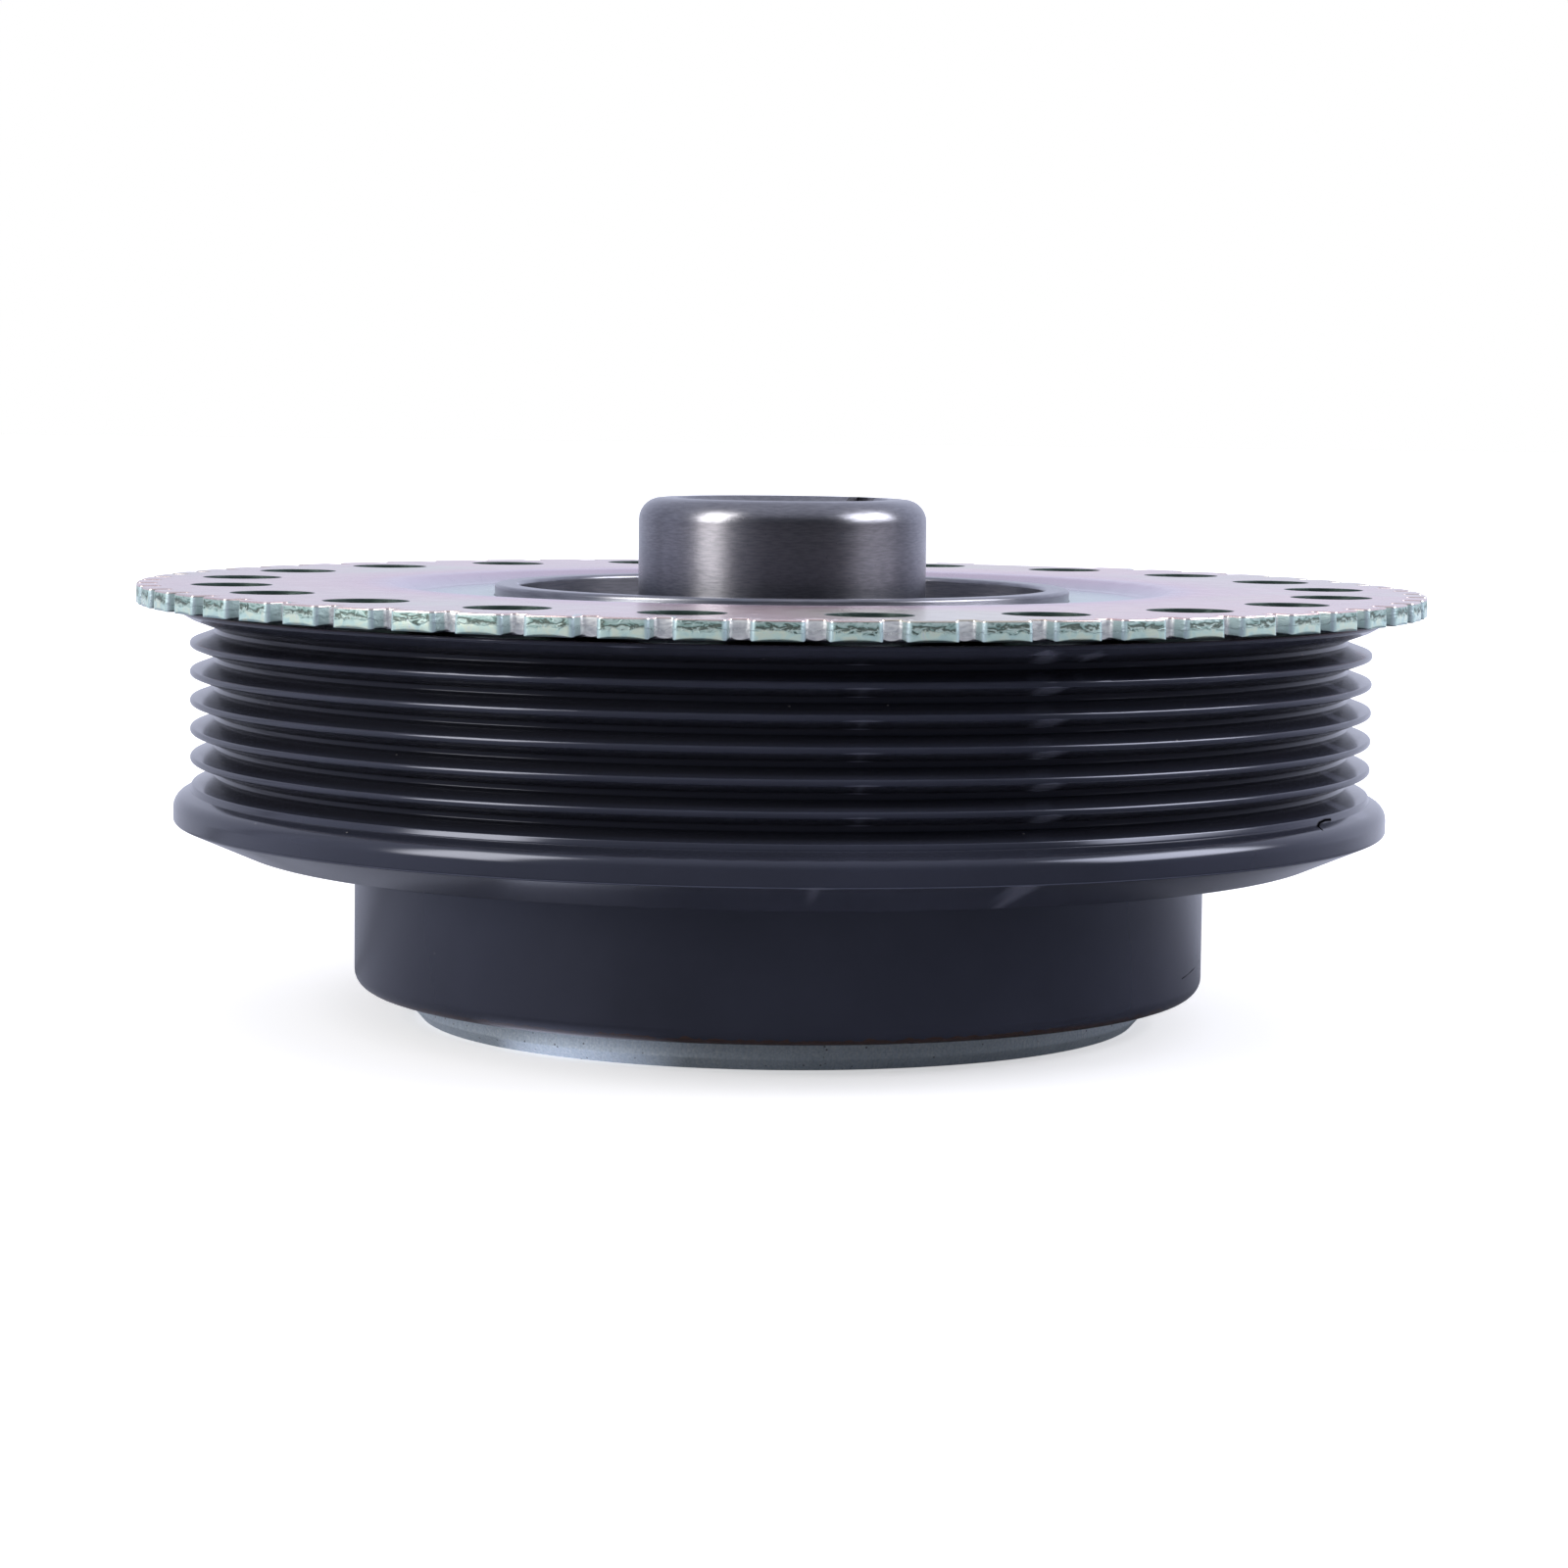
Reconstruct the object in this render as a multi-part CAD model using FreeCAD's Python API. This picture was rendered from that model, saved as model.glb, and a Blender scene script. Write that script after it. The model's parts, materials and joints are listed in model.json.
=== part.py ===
import FreeCAD, Part
import math
import os

# Crankshaft damper pulley, in millimetres.
# The shaft axis is +Z. The origin is on that axis, in the plane of the hub's front rim, on which the
# pulley rests. The engine side, with the seal journal and the trigger plate, points up.

# Belt track: six V grooves for a multi-rib belt, with five free ribs between them.
RIB_PITCH = 3.56
GROOVE_ANGLE = 40.0
GROOVE_DEPTH = 3.1
GROOVE_COUNT = 6
CROWN_RADIUS = 74.3

# Flanges at both ends of the belt track, and the cone under the front one.
RING_CLEARANCE = 0.65
FLANGE_RISE = 2.1
TOP_FLANGE_WALL = 1.2
LAST_LAND_WALL = 0.75
FRONT_FLANGE_SLOPE = 24.4
FRONT_FLANGE_WALL = 2.9
CONE_INSET = 8.5
CONE_DROP = 3.65

# Cylindrical skirt below the belt track. It and the hub's rim face the front.
SKIRT_WALL = 3.5
SKIRT_BOTTOM = 4.0
SKIRT_ROUNDING = 2.2

# Rubber sleeve between the hub's barrel and the ring, set back from both ends.
RUBBER_WALL = 3.8
RUBBER_FRONT_RECESS = 1.0
RUBBER_BACK_RECESS = 2.3

# Hub: seal journal, crank bore with its keyway, collar, shoulder, web, boss and barrel.
JOURNAL_RADIUS = 18.2
JOURNAL_TOP = 65.7
JOURNAL_ROUNDING = 2.8
BORE_RADIUS = 12.5
BORE_LENGTH = 36.0
BORE_CHAMFER = 1.0
KEYWAY_WIDTH = 5.0
KEYWAY_DEPTH = 2.3
KEYWAY_TURN = 40.0
BOLT_HOLE_RADIUS = 8.5
BOLT_LAND_WALL = 6.7
BOSS_WALL = 11.5
COLLAR_RADIUS = 36.3
COLLAR_WALL = 3.0
RECESS_DEPTH = 6.5
WEB_WALL = 10.7
SHOULDER_HEIGHT = 50.9
BARREL_RADIUS = 46.5
BARREL_WALL = 7.0
RIM_CHAMFER_WIDTH = 1.25
RIM_CHAMFER_HEIGHT = 1.4

# Trigger plate: sheet with punched notches, a ring of holes and a step past the hub's barrel.
PLATE_RADIUS = 80.9
PLATE_THICKNESS = 2.4
PLATE_STEP = 1.4
STEP_START_GAP = 0.4
STEP_RUN = 2.4
TOOTH_PITCHES = 60
NOTCH_DEPTH = 2.6
NOTCH_WIDTH = 2.5
NOTCH_TAPER = 0.2
TOOTH_CORNER = 0.75
NOTCH_TURN = -87.27
MISSING_TEETH = 2
MISSING_FROM_NOTCH = 24
HOLE_COUNT = 21
HOLE_RADIUS = 5.0
HOLE_TO_NOTCH = 3.8
HOLE_TURN = -99.1

ORIGIN = FreeCAD.Vector(0, 0, 0)
UP = FreeCAD.Vector(0, 0, 1)

# Places that two or more pieces share.
BORE_END = JOURNAL_TOP - BORE_LENGTH
PLATE_FLAT_BOTTOM = SHOULDER_HEIGHT + PLATE_STEP
PLATE_FLAT_TOP = PLATE_FLAT_BOTTOM + PLATE_THICKNESS
RING_TOP = PLATE_FLAT_BOTTOM - RING_CLEARANCE
RING_BORE_RADIUS = BARREL_RADIUS + RUBBER_WALL


def eased(corners):
    """Outline points. A corner is (x, y, rounding): 0 keeps it sharp, more rounds it off in two flats."""
    points = [FreeCAD.Vector(x, y, 0) for x, y, rounding in corners]
    outline = []
    for index, here in enumerate(points):
        rounding = corners[index][2]
        if rounding == 0:
            outline.append(here)
            continue
        before = (points[index - 1] - here).normalize()
        after = (points[(index + 1) % len(points)] - here).normalize()
        half_angle = before.getAngle(after) / 2
        reach = rounding / math.tan(half_angle)
        inward = (before + after).normalize()
        outline.append(here + before * reach)
        outline.append(here + inward * (rounding / math.sin(half_angle) - rounding))
        outline.append(here + after * reach)
    return outline


def turned(profile):
    """Solid turned about the shaft axis from corners given as (radius, height, rounding)."""
    points = [FreeCAD.Vector(point.x, 0, point.y) for point in eased(profile)]
    section = Part.Face(Part.makePolygon(points + points[:1]))
    return section.revolve(ORIGIN, UP, 360)


def belt_track(top):
    """Corners of the V grooves, each with a flat floor, and of the lands between them, from the top down."""
    flank_rise = GROOVE_DEPTH * math.tan(math.radians(GROOVE_ANGLE / 2))
    half_floor = (RIB_PITCH / 2 - flank_rise) / 2
    floor_radius = CROWN_RADIUS - GROOVE_DEPTH
    corners = []
    for index in range(GROOVE_COUNT):
        middle = top - half_floor - flank_rise - RIB_PITCH * index
        corners.append((CROWN_RADIUS, middle + half_floor + flank_rise, 0))
        corners.append((floor_radius, middle + half_floor, 0))
        corners.append((floor_radius, middle - half_floor, 0))
        corners.append((CROWN_RADIUS, middle - half_floor - flank_rise, 0))
    return corners


def pulley_ring():
    """Ring with the belt track, its flanges, the cone under the front one and the skirt."""
    track = belt_track(RING_TOP - TOP_FLANGE_WALL)
    flange_radius = CROWN_RADIUS + FLANGE_RISE
    slope_drop = FLANGE_RISE * math.tan(math.radians(FRONT_FLANGE_SLOPE))
    land_foot = track[-1][1] - LAST_LAND_WALL
    front_edge = land_foot - slope_drop
    cone_top = front_edge - FRONT_FLANGE_WALL
    cone_bottom = cone_top - CONE_DROP
    skirt_radius = RING_BORE_RADIUS + SKIRT_WALL
    profile = [
        (RING_BORE_RADIUS, RING_TOP, 0),
        (flange_radius, RING_TOP, 0),
    ]
    profile += track
    profile += [
        (CROWN_RADIUS, land_foot, 0),
        (flange_radius, front_edge, 0),
        (flange_radius, cone_top, 0),
        (flange_radius - CONE_INSET, cone_bottom, 0),
        (skirt_radius, cone_bottom, 0),
        (skirt_radius, SKIRT_BOTTOM, min(SKIRT_ROUNDING, SKIRT_WALL)),
        (RING_BORE_RADIUS, SKIRT_BOTTOM, 0),
    ]
    return turned(profile)


def damper_rubber():
    """Sleeve that fills the space between the hub's barrel and the ring's bore."""
    bottom = SKIRT_BOTTOM + RUBBER_FRONT_RECESS
    top = SHOULDER_HEIGHT - RUBBER_BACK_RECESS
    return turned([
        (BARREL_RADIUS, top, 0),
        (RING_BORE_RADIUS, top, 0),
        (RING_BORE_RADIUS, bottom, 0),
        (BARREL_RADIUS, bottom, 0),
    ])


def keyway():
    """Cutter for the keyway, which runs along the whole crank bore."""
    corner = FreeCAD.Vector(0, -KEYWAY_WIDTH / 2, BORE_END)
    cutter = Part.makeBox(BORE_RADIUS + KEYWAY_DEPTH, KEYWAY_WIDTH, BORE_LENGTH, corner)
    return cutter.rotated(ORIGIN, UP, KEYWAY_TURN)


def hub():
    """Turned hub, with its bore stepped down to the bolt hole behind the crank nose."""
    bore_mouth = BORE_RADIUS + BORE_CHAMFER
    recess_floor = PLATE_FLAT_TOP - RECESS_DEPTH
    recess_radius = COLLAR_RADIUS - COLLAR_WALL
    web_bottom = recess_floor - WEB_WALL
    boss_radius = BORE_RADIUS + BOSS_WALL
    boss_bottom = BORE_END - BOLT_LAND_WALL
    rim_inside = BARREL_RADIUS - BARREL_WALL
    blank = turned([
        (BOLT_HOLE_RADIUS, BORE_END, 0),
        (BORE_RADIUS, BORE_END, 0),
        (BORE_RADIUS, JOURNAL_TOP - BORE_CHAMFER, 0),
        (bore_mouth, JOURNAL_TOP, 0),
        (JOURNAL_RADIUS, JOURNAL_TOP, min(JOURNAL_ROUNDING, JOURNAL_RADIUS - bore_mouth)),
        (JOURNAL_RADIUS, recess_floor, 0),
        (recess_radius, recess_floor, 0),
        (recess_radius, PLATE_FLAT_TOP, 0),
        (COLLAR_RADIUS, PLATE_FLAT_TOP, 0),
        (COLLAR_RADIUS, SHOULDER_HEIGHT, 0),
        (BARREL_RADIUS, SHOULDER_HEIGHT, 0),
        (BARREL_RADIUS, RIM_CHAMFER_HEIGHT, 0),
        (BARREL_RADIUS - RIM_CHAMFER_WIDTH, 0, 0),
        (rim_inside, 0, 0),
        (rim_inside, web_bottom, 0),
        (boss_radius, web_bottom, 0),
        (boss_radius, boss_bottom, 0),
        (BOLT_HOLE_RADIUS, boss_bottom, 0),
    ])
    return blank.cut(keyway())


def notch_cutter():
    """Punch for one notch at angle 0. Its flared mouth takes the corners off the teeth beside it."""
    root = PLATE_RADIUS - NOTCH_DEPTH
    mouth = PLATE_RADIUS - TOOTH_CORNER
    beyond = PLATE_RADIUS + TOOTH_CORNER
    half_mouth = NOTCH_WIDTH / 2
    half_root = half_mouth - NOTCH_TAPER
    half_flare = half_mouth + beyond - mouth
    outline = [
        (root, -half_root),
        (mouth, -half_mouth),
        (beyond, -half_flare),
        (beyond, half_flare),
        (mouth, half_mouth),
        (root, half_root),
    ]
    points = [FreeCAD.Vector(x, y, PLATE_FLAT_BOTTOM) for x, y in outline]
    return Part.Face(Part.makePolygon(points + points[:1])).extrude(UP * PLATE_THICKNESS)


def missing_teeth_cutter(pitch):
    """Punch that takes out whole teeth, from the middle of one notch to the middle of a later one."""
    base = UP * PLATE_FLAT_BOTTOM
    sector = Part.makeCylinder(
        PLATE_RADIUS + TOOTH_CORNER, PLATE_THICKNESS, base, UP, pitch * MISSING_TEETH
    )
    return sector.cut(Part.makeCylinder(PLATE_RADIUS - NOTCH_DEPTH, PLATE_THICKNESS, base))


def trigger_plate():
    """Stamped plate: toothed rim, ring of holes, and the step down to the hub's shoulder."""
    step_inside = BARREL_RADIUS + STEP_START_GAP
    step_outside = step_inside + STEP_RUN
    seat_top = SHOULDER_HEIGHT + PLATE_THICKNESS
    sheet = turned([
        (COLLAR_RADIUS, SHOULDER_HEIGHT, 0),
        (step_inside, SHOULDER_HEIGHT, 0),
        (step_outside, PLATE_FLAT_BOTTOM, 0),
        (PLATE_RADIUS, PLATE_FLAT_BOTTOM, 0),
        (PLATE_RADIUS, PLATE_FLAT_TOP, 0),
        (step_outside, PLATE_FLAT_TOP, 0),
        (step_inside, seat_top, 0),
        (COLLAR_RADIUS, seat_top, 0),
    ])
    pitch = 360.0 / TOOTH_PITCHES
    punches = []
    for index in range(TOOTH_PITCHES):
        punches.append(notch_cutter().rotated(ORIGIN, UP, NOTCH_TURN + pitch * index))
    gap_turn = NOTCH_TURN + pitch * MISSING_FROM_NOTCH
    punches.append(missing_teeth_cutter(pitch).rotated(ORIGIN, UP, gap_turn))
    hole_circle = PLATE_RADIUS - NOTCH_DEPTH - HOLE_TO_NOTCH - HOLE_RADIUS
    hole_place = FreeCAD.Vector(hole_circle, 0, PLATE_FLAT_BOTTOM)
    for index in range(HOLE_COUNT):
        hole = Part.makeCylinder(HOLE_RADIUS, PLATE_THICKNESS, hole_place)
        punches.append(hole.rotated(ORIGIN, UP, HOLE_TURN + 360.0 * index / HOLE_COUNT))
    return sheet.cut(punches)


PIECES = {
    "hub": hub,
    "damper_rubber": damper_rubber,
    "pulley_ring": pulley_ring,
    "trigger_plate": trigger_plate,
}

os.makedirs("parts", exist_ok=True)
for name, build in PIECES.items():
    piece = build()
    if len(piece.Solids) == 1:
        piece = piece.Solids[0]
    piece.exportStep("parts/" + name + ".step")
    print(name, "volume", round(piece.Volume), "mm3, solids", len(piece.Solids), "valid", piece.isValid())
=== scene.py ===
# %% [markdown]
# # A crankshaft damper pulley
#
# This notebook dresses a crankshaft pulley that lies on its front rim with its engine side up. It has four
# pieces: a turned iron hub, a rubber sleeve round it, a black coated ring with a belt track, and a stamped
# and plated trigger plate. The solids come packed, at their real size. Here they get finer meshes with true
# roundings and the finish of every surface. Sizes are written in millimetres, and each mesh is scaled to
# metres at the end.

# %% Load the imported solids
import bmesh
import bpy
import json
import math
from mathutils import Matrix, Vector


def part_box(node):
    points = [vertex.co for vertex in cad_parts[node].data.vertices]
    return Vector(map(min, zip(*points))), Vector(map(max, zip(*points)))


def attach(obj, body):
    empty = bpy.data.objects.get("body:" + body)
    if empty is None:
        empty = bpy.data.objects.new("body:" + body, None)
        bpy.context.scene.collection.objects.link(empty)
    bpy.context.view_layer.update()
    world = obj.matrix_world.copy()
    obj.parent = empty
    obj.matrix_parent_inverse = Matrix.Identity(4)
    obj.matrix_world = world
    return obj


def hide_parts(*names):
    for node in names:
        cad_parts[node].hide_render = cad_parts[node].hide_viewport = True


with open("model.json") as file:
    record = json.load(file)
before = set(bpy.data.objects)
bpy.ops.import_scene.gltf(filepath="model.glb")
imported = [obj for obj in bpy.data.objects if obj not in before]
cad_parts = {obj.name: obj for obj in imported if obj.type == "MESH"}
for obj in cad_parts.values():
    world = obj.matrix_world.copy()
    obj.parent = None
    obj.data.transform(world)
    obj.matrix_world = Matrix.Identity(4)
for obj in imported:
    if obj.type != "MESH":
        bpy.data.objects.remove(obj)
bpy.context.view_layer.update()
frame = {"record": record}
MM = 0.001
mounts = {mount["name"]: mount for mount in frame["record"]["mounts"]}


def reach(node):
    """Outer radius, lowest and highest point of a turned node, in mm."""
    low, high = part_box(node)
    return high.x / MM, low.z / MM, high.z / MM


flange_radius, skirt_bottom, ring_top = reach("pulley_ring")
barrel_radius, _, journal_top = reach("hub")
ring_bore_radius, rubber_bottom, rubber_top = reach("damper_rubber")
plate_radius, shoulder_height, plate_top = reach("trigger_plate")
journal_radius = mounts["seal_journal"]["dims"]["r_mm"]
bore_radius = mounts["crank_bore"]["dims"]["r_mm"]
bolt_hole_radius = mounts["crank_bolt_hole"]["dims"]["r_mm"]
boss_bottom = mounts["bolt_seat"]["pos_m"][2] / MM
print("flange, plate and journal radius:", round(flange_radius, 2), round(plate_radius, 2), journal_radius)

# %% [markdown]
# ## The camera
#
# A pulley photographed from just above its edge tells a lot about the camera. Circles at different heights
# open into ellipses of different widths, and their ratios give the camera's height and distance. Fitting six
# of them gave a camera half a metre away and 79 mm above the bench, pitched down a little and rolled by half
# a degree. The long lens is worked out from the rib pitch, which is a standard 3.56 mm.

# %% Place the camera
CAMERA_DISTANCE = 524.4
CAMERA_HEIGHT = 78.8
CAMERA_PITCH = math.radians(5.38)
CAMERA_YAW = math.radians(-0.06)
CAMERA_ROLL = math.radians(0.66)
LENS = 95.0

camera_data = bpy.data.cameras.new("camera")
camera_data.lens = LENS
camera_data.sensor_width = 36
camera = bpy.data.objects.new("camera", camera_data)
bpy.context.scene.collection.objects.link(camera)
aim = Matrix.Rotation(CAMERA_YAW, 4, "Z") @ Matrix.Rotation(math.pi / 2 - CAMERA_PITCH, 4, "X")
place = Matrix.Translation(Vector((0, -CAMERA_DISTANCE, CAMERA_HEIGHT)) * MM)
camera.matrix_world = place @ aim @ Matrix.Rotation(CAMERA_ROLL, 4, "Z")
bpy.context.scene.camera = camera
print("camera at", [round(value, 3) for value in camera.matrix_world.translation])

# %% [markdown]
# ## Turned pieces
#
# Hub, ring and sleeve were all turned on a lathe, so each is one section swept round the shaft axis. The
# spin operator does the same thing. Real edges are never quite sharp, and the thin bright lines along the
# ribs come from their small roundings, so each corner of a section carries its own rounding, drawn as an
# arc.

# %% Round the corners of a section
ARC_STEP = math.radians(15)


def rounded(corners):
    """Points of a closed outline. A corner is (x, y, radius), and 0 keeps it sharp."""
    points = [Vector((x, y)) for x, y, radius in corners]
    outline = []
    for index, here in enumerate(points):
        radius = corners[index][2]
        if radius == 0:
            outline.append(here)
            continue
        before = (points[index - 1] - here).normalized()
        after = (points[(index + 1) % len(points)] - here).normalized()
        half = before.angle(after) / 2
        centre = here + (before + after).normalized() * radius / math.sin(half)
        start = here + before * radius / math.tan(half) - centre
        finish = here + after * radius / math.tan(half) - centre
        turn = start.angle_signed(finish)
        steps = max(2, math.ceil(abs(turn) / ARC_STEP))
        for step in range(steps + 1):
            outline.append(centre + Matrix.Rotation(-turn * step / steps, 2) @ start)
    return outline


square = rounded([(0, 0, 0), (10, 0, 2), (10, 10, 2), (0, 10, 0)])
print("a square with two round corners has", len(square), "points")


# %% [markdown]
# A spun section is a closed skin, so the doubles along its seam are merged and its normals recalculated.
# Then the piece is scaled to metres, attached to its body, and the packed node it stands for is hidden. A
# Weighted Normal modifier keeps flat faces flat beside the small roundings.

# %% Turn a section into a piece
def finish_piece(name, bm, node, sharp=30.0):
    """Scales a mesh made in mm to metres, and makes it the piece that stands for a node."""
    bmesh.ops.scale(bm, vec=(MM, MM, MM), verts=bm.verts)
    mesh = bpy.data.meshes.new(name)
    bm.to_mesh(mesh)
    bm.free()
    mesh.polygons.foreach_set("use_smooth", [True] * len(mesh.polygons))
    mesh.set_sharp_from_angle(angle=math.radians(sharp))
    piece = bpy.data.objects.new(name, mesh)
    bpy.context.scene.collection.objects.link(piece)
    weighted = piece.modifiers.new("flat_faces_stay_flat", "WEIGHTED_NORMAL")
    weighted.keep_sharp = True
    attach(piece, "root")
    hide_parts(node)
    print(name, "has", len(mesh.polygons), "faces")
    return piece


def turned(corners, steps):
    """Mesh of a closed section, given as (radius, height, rounding) corners, spun round the shaft axis."""
    bm = bmesh.new()
    section = [bm.verts.new((point.x, 0, point.y)) for point in rounded(corners)]
    edges = [bm.edges.new((vert, section[index - 1])) for index, vert in enumerate(section)]
    bmesh.ops.spin(
        bm, geom=section + edges, axis=(0, 0, 1), cent=(0, 0, 0), steps=steps, angle=math.tau, use_merge=True
    )
    bmesh.ops.remove_doubles(bm, verts=bm.verts, dist=0.0005)
    bmesh.ops.recalc_face_normals(bm, faces=bm.faces)
    return bm


# %% [markdown]
# ## The pulley ring
#
# The belt runs in six V grooves at a 3.56 mm pitch, cut with a 40 degree form tool between a thin flange
# under the trigger plate and a thick one at the front. Below that flange the casting runs in under a shallow
# cone to the cylindrical skirt. The groove outline is a loop, as on the real tool, and the rest of the
# section is a short list of corners.

# %% Cut the belt track
RIB_PITCH = 3.56
GROOVE_DEPTH = 3.1
GROOVE_COUNT = 6
HALF_GROOVE_ANGLE = math.radians(20)
FLANGE_RISE = 2.1
TOP_FLANGE_WALL = 1.2
CREST_ROUNDING = 0.4
FLOOR_ROUNDING = 0.25

crown_radius = flange_radius - FLANGE_RISE
flank_rise = GROOVE_DEPTH * math.tan(HALF_GROOVE_ANGLE)
half_floor = (RIB_PITCH / 2 - flank_rise) / 2
track_top = ring_top - TOP_FLANGE_WALL
track = []
for groove in range(GROOVE_COUNT):
    middle = track_top - half_floor - flank_rise - RIB_PITCH * groove
    floor_radius = crown_radius - GROOVE_DEPTH
    track.append((crown_radius, middle + half_floor + flank_rise, CREST_ROUNDING))
    track.append((floor_radius, middle + half_floor, FLOOR_ROUNDING))
    track.append((floor_radius, middle - half_floor, FLOOR_ROUNDING))
    track.append((crown_radius, middle - half_floor - flank_rise, CREST_ROUNDING))
print("belt track from", round(track[0][1], 2), "down to", round(track[-1][1], 2))

# %% [markdown]
# ## The whole ring
#
# Above the track the ring ends in a thin flange, and below it come the last land, the thick front flange,
# the cone and the skirt. The last land leans in a little, which catches the light as a band. One turning
# made all of it, so one section holds all of it, and spinning that section gives the ring whole.

# %% Turn the pulley ring
LAST_LAND_WALL = 0.75
LAST_LAND_LEAN = 0.2
LAST_LAND_CONE = 0.6
FRONT_FLANGE_SLOPE = math.radians(24.4)
FRONT_FLANGE_WALL = 2.9
CONE_INSET = 8.5
CONE_DROP = 3.65
SKIRT_WALL = 3.5
SKIRT_ROUNDING = 2.0
RING_STEPS = 360

land_foot = track[-1][1] - LAST_LAND_WALL
front_edge = land_foot - FLANGE_RISE * math.tan(FRONT_FLANGE_SLOPE)
cone_top = front_edge - FRONT_FLANGE_WALL
cone_bottom = cone_top - CONE_DROP
skirt_radius = ring_bore_radius + SKIRT_WALL
land_top = track[-1][1]
track[-1] = (crown_radius - LAST_LAND_LEAN, land_top, 0.3)
ring_section = [(ring_bore_radius, ring_top, 0.3), (flange_radius, ring_top, 0.3), *track]
ring_section += [
    (crown_radius, land_top - LAST_LAND_CONE, 0.5),
    (crown_radius, land_foot, 0.04),
    (flange_radius, front_edge, 1.9),
    (flange_radius, cone_top, 0.45),
    (flange_radius - CONE_INSET, cone_bottom, 2.5),
    (skirt_radius, cone_bottom, 0.25),
    (skirt_radius, skirt_bottom, SKIRT_ROUNDING),
    (ring_bore_radius, skirt_bottom, 0.4),
]
ring = finish_piece("belt_ring", turned(ring_section, RING_STEPS), "pulley_ring")

# %% [markdown]
# ## The rubber sleeve
#
# The sleeve is vulcanised between hub and ring, and only its two end faces can be seen, set back between the
# metal walls. Rubber bonded like that shrinks as it cools, so each end face is a shallow trough.

# %% Turn the rubber sleeve
TROUGH = 0.5
rubber_middle = (barrel_radius + ring_bore_radius) / 2
rubber_section = [
    (barrel_radius, rubber_top, 0),
    (rubber_middle, rubber_top - TROUGH, 2.0),
    (ring_bore_radius, rubber_top, 0),
    (ring_bore_radius, rubber_bottom, 0),
    (rubber_middle, rubber_bottom + TROUGH, 2.0),
    (barrel_radius, rubber_bottom, 0),
]
rubber = finish_piece("rubber_sleeve", turned(rubber_section, 240), "damper_rubber")

# %% [markdown]
# ## The hub
#
# One iron turning carries everything else: the journal that the oil seal runs on, the crank bore with its
# keyway, the collar that centres the trigger plate, and the barrel that ends in the bright rim at the
# bottom. It is spun like the ring.

# %% Turn the hub
JOURNAL_ROUNDING = 2.8
BORE_LENGTH = 36.0
BORE_CHAMFER = 1.0
COLLAR_RADIUS = 36.3
COLLAR_WALL = 3.0
RECESS_DEPTH = 6.5
WEB_WALL = 10.7
BOSS_WALL = 11.5
BARREL_WALL = 7.0
RIM_CHAMFER_WIDTH = 1.25
RIM_CHAMFER_HEIGHT = 1.4
HUB_STEPS = 300

bore_end = journal_top - BORE_LENGTH
bore_mouth = bore_radius + BORE_CHAMFER
recess_floor = plate_top - RECESS_DEPTH
recess_radius = COLLAR_RADIUS - COLLAR_WALL
web_bottom = recess_floor - WEB_WALL
rim_inside = barrel_radius - BARREL_WALL
hub_section = [
    (bolt_hole_radius, bore_end, 0),
    (bore_radius, bore_end, 0.4),
    (bore_radius, journal_top - BORE_CHAMFER, 0.15),
    (bore_mouth, journal_top, 0.15),
    (journal_radius, journal_top, JOURNAL_ROUNDING),
    (journal_radius, recess_floor, 1.2),
    (recess_radius, recess_floor, 1.2),
    (recess_radius, plate_top, 0.5),
    (COLLAR_RADIUS, plate_top, 0.45),
    (COLLAR_RADIUS, shoulder_height, 0),
    (barrel_radius, shoulder_height, 0),
    (barrel_radius, rubber_bottom, 0),
    (barrel_radius, RIM_CHAMFER_HEIGHT, 0.35),
    (barrel_radius - RIM_CHAMFER_WIDTH, 0, 0.3),
    (rim_inside, 0, 0.6),
    (rim_inside, web_bottom, 3.0),
    (bore_radius + BOSS_WALL, web_bottom, 3.0),
    (bore_radius + BOSS_WALL, boss_bottom, 0.8),
    (bolt_hole_radius, boss_bottom, 0.5),
]
hub = finish_piece("turned_hub", turned(hub_section, HUB_STEPS), "hub")

# %% [markdown]
# ## The keyway
#
# The keyway is the one feature of the hub that isn't round. It is cut out of the turned mesh with a boolean,
# the way a broach cuts the turned blank. The cutter is a cube, scaled a little longer than the bore and
# turned to the keyway's place. The result is baked into the hub's mesh, so no cutter is left in the scene.

# %% Broach the keyway
KEYWAY_WIDTH = 5.0
KEYWAY_DEPTH = 2.3
BROACH_OVERRUN = 1.0

keyway_reach = bore_radius + KEYWAY_DEPTH
broach_length = BORE_LENGTH + BROACH_OVERRUN
broach_middle = journal_top + BROACH_OVERRUN - broach_length / 2
broach = bmesh.new()
bmesh.ops.create_cube(broach, size=1)
bmesh.ops.scale(broach, vec=(keyway_reach, KEYWAY_WIDTH, broach_length), verts=broach.verts)
bmesh.ops.translate(broach, vec=(keyway_reach / 2, 0, broach_middle), verts=broach.verts)
keyway_place = Vector(mounts["keyway"]["pos_m"])
keyway_turn = math.atan2(keyway_place.y, keyway_place.x)
bmesh.ops.rotate(broach, cent=(0, 0, 0), matrix=Matrix.Rotation(keyway_turn, 3, "Z"), verts=broach.verts)
bmesh.ops.scale(broach, vec=(MM, MM, MM), verts=broach.verts)
broach_mesh = bpy.data.meshes.new("broach")
broach.to_mesh(broach_mesh)
broach.free()
cutter = bpy.data.objects.new("broach", broach_mesh)
bpy.context.scene.collection.objects.link(cutter)
cut = hub.modifiers.new("keyway", "BOOLEAN")
cut.operation = "DIFFERENCE"
cut.solver = "EXACT"
cut.object = cutter
hub.modifiers.move(1, 0)
depsgraph = bpy.context.evaluated_depsgraph_get()
cut_mesh = bpy.data.meshes.new_from_object(hub.evaluated_get(depsgraph), depsgraph=depsgraph)
hub.modifiers.clear()
hub.data = cut_mesh
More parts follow.
